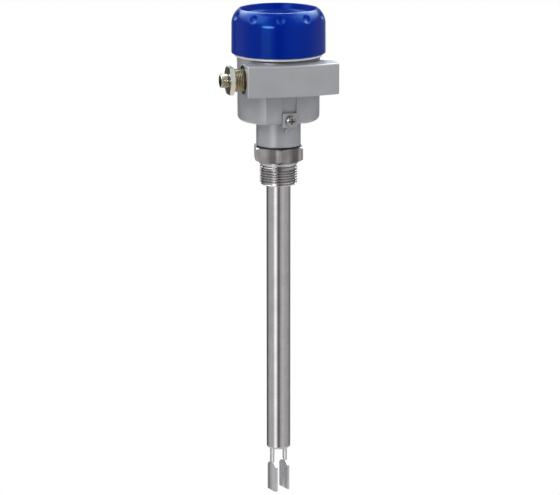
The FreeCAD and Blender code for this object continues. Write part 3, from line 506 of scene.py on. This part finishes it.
world = bpy.data.worlds.new("studio")
bpy.context.scene.world = world
world.use_nodes = True
tree = world.node_tree
tree.nodes.clear()
place = add(tree, "ShaderNodeTexCoord")
split = add(tree, "ShaderNodeSeparateXYZ", links={"Vector": (place, "Generated")})
flip = add(tree, "ShaderNodeMath", {1: -1.0}, {0: (split, "Y")}, operation="MULTIPLY")
turn = add(tree, "ShaderNodeMath", links={0: (split, "X"), 1: (flip, 0)}, operation="ARCTAN2")
shift = add(tree, "ShaderNodeMath", {1: -camera_turn + math.pi}, {0: (turn, 0)}, operation="ADD")
whole = add(tree, "ShaderNodeMath", {1: 2 * math.pi}, {0: (shift, 0)}, operation="DIVIDE")
share = add(tree, "ShaderNodeMath", links={0: (whole, 0)}, operation="FRACT")
# Brightness of wall and sky by the angle round the switch from the camera's side, in degrees
wall_power, sky_power, sky_tint = 2.0, 10.0, (0.078, 0.09, 0.1)
wall_light = [(-180, 0.3), (-170, 0.8), (-161, 0.12), (-136, 0.05), (-120, 0.3), (-100, 0.56),
              (-50, 0.62), (-43, 0.8), (-38, 1.6), (-22, 1.6), (-13, 0.6), (-4, 0.14), (9, 0.16),
              (20, 0.54), (42, 0.74), (65, 0.6), (100, 0.5), (130, 0.25), (155, 0.2), (180, 0.3)]
sky_light = [(-180, 10.0), (-140, 8.0), (-110, 4.0), (-80, 5.2), (-48, 5.0), (-30, 1.0), (-12, 0.4),
             (10, 0.4), (40, 0.9), (65, 3.0), (85, 5.2), (110, 5.0), (140, 8.0), (180, 10.0)]
strips = add(tree, "ShaderNodeValToRGB", links={"Fac": (share, 0)},
             stops=[(0.5 + angle / 360, value / wall_power) for angle, value in wall_light])
sky = add(tree, "ShaderNodeValToRGB", links={"Fac": (share, 0)},
          stops=[(0.5 + angle / 360, [value * part for part in sky_tint] + [1])
                 for angle, value in sky_light])
wall = add(tree, "ShaderNodeBackground", {"Strength": wall_power}, {"Color": (strips, "Color")})
above = add(tree, "ShaderNodeBackground", {"Strength": sky_power}, {"Color": (sky, "Color")})
below = add(tree, "ShaderNodeBackground", {"Color": (1, 1, 1, 1), "Strength": 0.85})
roof = add(tree, "ShaderNodeBackground", {"Color": (1, 1, 1, 1), "Strength": 0.8})
# Wall, sky and roof fade into one another between these sines of the rise, and wall and ground too
climb = add(tree, "ShaderNodeMapRange", {"From Min": 0.3, "From Max": 0.6}, {"Value": (split, "Z")})
crown = add(tree, "ShaderNodeMapRange", {"From Min": 0.86, "From Max": 0.95}, {"Value": (split, "Z")})
drop = add(tree, "ShaderNodeMapRange", {"From Min": -0.42, "From Max": -0.6}, {"Value": (split, "Z")})
upper = add(tree, "ShaderNodeMixShader", links={0: (climb, 0), 1: (wall, 0), 2: (above, 0)})
topped = add(tree, "ShaderNodeMixShader", links={0: (crown, 0), 1: (upper, 0), 2: (roof, 0)})
shine = add(tree, "ShaderNodeMixShader", links={0: (drop, 0), 1: (topped, 0), 2: (below, 0)})
# Mirrored light sees the strips, scattered light a soft even room, and the camera plain white
path = add(tree, "ShaderNodeLightPath")
soft = add(tree, "ShaderNodeBackground", {"Color": (0.95, 0.97, 1, 1), "Strength": 0.5})
white = add(tree, "ShaderNodeBackground", {"Color": (1, 1, 1, 1), "Strength": 1.0})
mirror = add(tree, "ShaderNodeMixShader", links={0: (path, "Is Glossy Ray"), 1: (soft, 0), 2: (shine, 0)})
seen = add(tree, "ShaderNodeMixShader", links={0: (path, "Is Camera Ray"), 1: (mirror, 0), 2: (white, 0)})
add(tree, "ShaderNodeOutputWorld", links={"Surface": (seen, 0)})

# White paper floor far below the fork: the camera sees it as white as the surroundings
paper, tree, shader = finish("white floor", "E7E7E7", Roughness=0.9)
path = add(tree, "ShaderNodeLightPath")
glow = add(tree, "ShaderNodeEmission", {"Color": (1, 1, 1, 1), "Strength": 1.0})
seen = add(tree, "ShaderNodeMixShader", links={0: (path, "Is Camera Ray"), 1: (shader, 0), 2: (glow, 0)})
tree.links.new(seen.outputs[0], tree.nodes["Material Output"].inputs["Surface"])
floor_half, floor_z = 3, -0.45
bm = bmesh.new()
bmesh.ops.create_grid(bm, x_segments=1, y_segments=1, size=floor_half)
bmesh.ops.translate(bm, verts=bm.verts, vec=(0, 0, floor_z))
floor = bpy.data.objects.new("floor", bpy.data.meshes.new("floor"))
bm.to_mesh(floor.data)
bm.free()
floor.data.materials.append(paper)
floor.visible_glossy = False
bpy.context.scene.collection.objects.link(floor)

# Soft round lamps that only scatter, and a window that only mirrors, as one glint on the lid
lamp_height = 0.05
for name, turn, rise, reach, width, height, power in (
        ("key", -55, 38, 1.6, 1.0, 1.0, 13), ("fill", 50, 20, 1.8, 1.2, 1.2, 8),
        ("window", -40, 9, 1.5, 0.76, 0.4, 12), ("top", 20, 80, 1.6, 0.8, 0.8, 5)):
    lamp = bpy.data.lights.new(name, "AREA")
    lamp.shape = "ELLIPSE"
    lamp.size = width
    lamp.size_y = height
    lamp.energy = power
    side = direction(math.radians(turn), math.radians(rise))
    stand = bpy.data.objects.new(name, lamp)
    stand.location = side * reach + Vector((0, 0, lamp_height))
    stand.rotation_euler = side.to_track_quat("Z", "Y").to_euler()
    stand.visible_glossy = name == "window"
    stand.visible_diffuse = name != "window"
    bpy.context.scene.collection.objects.link(stand)
bpy.context.scene.view_settings.view_transform = "Standard"
